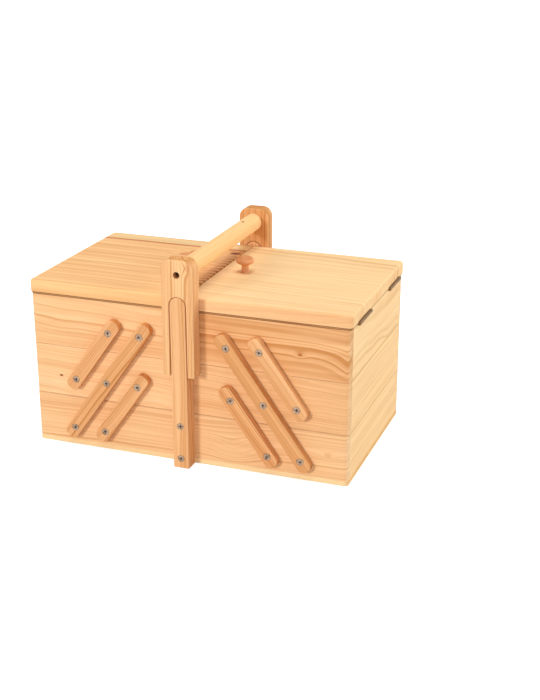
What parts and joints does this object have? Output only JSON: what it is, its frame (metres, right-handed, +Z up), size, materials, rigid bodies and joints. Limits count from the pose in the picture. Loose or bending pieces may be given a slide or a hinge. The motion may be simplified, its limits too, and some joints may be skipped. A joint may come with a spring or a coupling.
{
  "type": "sewing box",
  "caption": "Wooden cantilever sewing carrier: bottom box, trays that swing out on pivoted arms, hinged lids with knobs, and a dowel handle that slides on posts.",
  "frame": {"origin": "on the floor, under the middle of the box", "axes": "+Z up, +X to the right along the box, the front face towards -Y"},
  "size_m": [0.3838, 0.25, 0.241],
  "materials": {
    "board_wood": "satin clear-finished softwood",
    "lid_wood": "satin clear-finished softwood",
    "arm_wood": "satin clear-finished softwood",
    "post_wood": "satin clear-finished softwood",
    "handle_wood": "satin clear-finished softwood",
    "knob_wood": "satin clear-finished softwood",
    "plywood": "sanded plywood",
    "steel": "zinc-plated",
    "hinge_metal": "dark bronzed"
  },
  "bodies": {
    "base": {"box_front_board": "board_wood", "box_back_board": "board_wood", "box_left_board": "board_wood", "box_right_board": "board_wood", "box_bottom_panel": "plywood", "front_post": "post_wood", "back_post": "post_wood", "post_pins": "steel", "post_screws": "steel", "box_pivot_screws": "steel"},
    "handle": {"handle_front_plate": "handle_wood", "handle_back_plate": "handle_wood", "handle_dowel": "handle_wood", "handle_screws": "steel"},
    "left_middle_tray": {"left_middle_front_board": "board_wood", "left_middle_back_board": "board_wood", "left_middle_inner_board": "board_wood", "left_middle_outer_board": "board_wood", "left_middle_floor": "plywood", "left_middle_pivot_screws": "steel"},
    "left_top_tray": {"left_top_front_board": "board_wood", "left_top_back_board": "board_wood", "left_top_inner_board": "board_wood", "left_top_outer_board": "board_wood", "left_top_floor": "plywood", "left_top_pivot_screws": "steel", "left_hinge_tray_leaves": "hinge_metal", "left_hinge_pins": "hinge_metal", "left_hinge_screws_tray": "hinge_metal"},
    "left_long_arm_pair": {"left_long_arms": "arm_wood"},
    "left_lower_arm_pair": {"left_lower_arms": "arm_wood"},
    "left_upper_arm_pair": {"left_upper_arms": "arm_wood"},
    "left_lid_set": {"left_lid": "lid_wood", "left_knob": "knob_wood", "left_knob_screw": "steel", "left_hinge_lid_leaves": "hinge_metal", "left_hinge_screws_lid": "hinge_metal"},
    "right_middle_tray": {"right_middle_front_board": "board_wood", "right_middle_back_board": "board_wood", "right_middle_inner_board": "board_wood", "right_middle_outer_board": "board_wood", "right_middle_floor": "plywood", "right_middle_pivot_screws": "steel"},
    "right_top_tray": {"right_top_front_board": "board_wood", "right_top_back_board": "board_wood", "right_top_inner_board": "board_wood", "right_top_outer_board": "board_wood", "right_top_floor": "plywood", "right_top_pivot_screws": "steel", "right_hinge_tray_leaves": "hinge_metal", "right_hinge_pins": "hinge_metal", "right_hinge_screws_tray": "hinge_metal"},
    "right_long_arm_pair": {"right_long_arms": "arm_wood"},
    "right_lower_arm_pair": {"right_lower_arms": "arm_wood"},
    "right_upper_arm_pair": {"right_upper_arms": "arm_wood"},
    "right_lid_set": {"right_lid": "lid_wood", "right_knob": "knob_wood", "right_knob_screw": "steel", "right_hinge_lid_leaves": "hinge_metal", "right_hinge_screws_lid": "hinge_metal"}
  },
  "joints": [
    {"name": "handle_slide", "type": "slide", "parent": "base", "child": "handle", "axis": [0, 0, 1], "range_m": [0, 0.035]},
    {"name": "left_swing", "type": "hinge", "parent": "base", "child": "left_long_arm_pair", "pos_m": [-0.136, 0, 0.025], "axis": [0, -1, 0], "range_deg": [0, 70.5]},
    {"name": "left_lower_swing", "type": "hinge", "parent": "base", "child": "left_lower_arm_pair", "pos_m": [-0.098, 0, 0.025], "axis": [0, -1, 0], "range_deg": [0, 70.5]},
    {"name": "left_middle_level", "type": "hinge", "parent": "left_long_arm_pair", "child": "left_middle_tray", "pos_m": [-0.0935, 0, 0.085], "axis": [0, -1, 0], "range_deg": [-70.5, 0]},
    {"name": "left_top_level", "type": "hinge", "parent": "left_long_arm_pair", "child": "left_top_tray", "pos_m": [-0.051, 0, 0.145], "axis": [0, -1, 0], "range_deg": [-70.5, 0]},
    {"name": "left_upper_swing", "type": "hinge", "parent": "left_middle_tray", "child": "left_upper_arm_pair", "pos_m": [-0.1315, 0, 0.085], "axis": [0, -1, 0], "range_deg": [0, 70.5]},
    {"name": "left_lid_hinge", "type": "hinge", "parent": "left_top_tray", "child": "left_lid_set", "pos_m": [-0.18985, 0, 0.18], "axis": [0, -1, 0], "range_deg": [0, 106]},
    {"name": "right_swing", "type": "hinge", "parent": "base", "child": "right_long_arm_pair", "pos_m": [0.136, 0, 0.025], "axis": [0, 1, 0], "range_deg": [0, 70.5]},
    {"name": "right_lower_swing", "type": "hinge", "parent": "base", "child": "right_lower_arm_pair", "pos_m": [0.098, 0, 0.025], "axis": [0, 1, 0], "range_deg": [0, 70.5]},
    {"name": "right_middle_level", "type": "hinge", "parent": "right_long_arm_pair", "child": "right_middle_tray", "pos_m": [0.0935, 0, 0.085], "axis": [0, 1, 0], "range_deg": [-70.5, 0]},
    {"name": "right_top_level", "type": "hinge", "parent": "right_long_arm_pair", "child": "right_top_tray", "pos_m": [0.051, 0, 0.145], "axis": [0, 1, 0], "range_deg": [-70.5, 0]},
    {"name": "right_upper_swing", "type": "hinge", "parent": "right_middle_tray", "child": "right_upper_arm_pair", "pos_m": [0.1315, 0, 0.085], "axis": [0, 1, 0], "range_deg": [0, 70.5]},
    {"name": "right_lid_hinge", "type": "hinge", "parent": "right_top_tray", "child": "right_lid_set", "pos_m": [0.18985, 0, 0.18], "axis": [0, 1, 0], "range_deg": [0, 106]}
  ],
  "couplings": [
    {"joint": "left_lower_swing", "follows": "left_swing", "ratio": 1},
    {"joint": "left_middle_level", "follows": "left_swing", "ratio": -1},
    {"joint": "left_top_level", "follows": "left_swing", "ratio": -1},
    {"joint": "left_upper_swing", "follows": "left_swing", "ratio": 1},
    {"joint": "left_lid_hinge", "follows": "left_swing", "ratio": 1.5},
    {"joint": "right_lower_swing", "follows": "right_swing", "ratio": 1},
    {"joint": "right_middle_level", "follows": "right_swing", "ratio": -1},
    {"joint": "right_top_level", "follows": "right_swing", "ratio": -1},
    {"joint": "right_upper_swing", "follows": "right_swing", "ratio": 1},
    {"joint": "right_lid_hinge", "follows": "right_swing", "ratio": 1.5}
  ]
}
